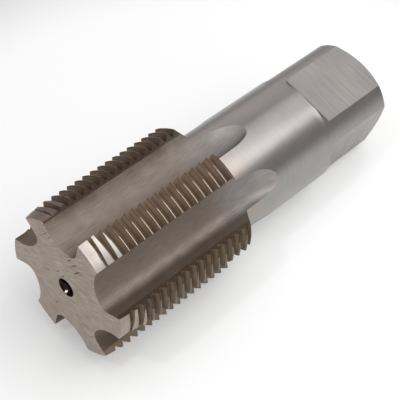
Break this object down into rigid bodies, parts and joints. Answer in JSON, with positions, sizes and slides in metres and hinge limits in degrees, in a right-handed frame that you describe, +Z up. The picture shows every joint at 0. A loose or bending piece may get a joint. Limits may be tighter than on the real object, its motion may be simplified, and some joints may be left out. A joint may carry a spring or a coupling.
{
  "type": "thread tap",
  "caption": "Fluted hand tap for parallel pipe thread, with a short ground lead, a plain round shank and a milled square at its end for a tap wrench.",
  "frame": {"origin": "on the floor, under the middle of the tap's bounding box", "axes": "+X from the cutting end towards the square end, +Z up, the tap lying at rest on two of its lands and the end of its shank"},
  "size_m": [0.1008, 0.0378, 0.0384],
  "materials": {
    "tool_steel": "ground"
  },
  "bodies": {
    "root": {"thread_tap": "tool_steel"}
  },
  "joints": []
}
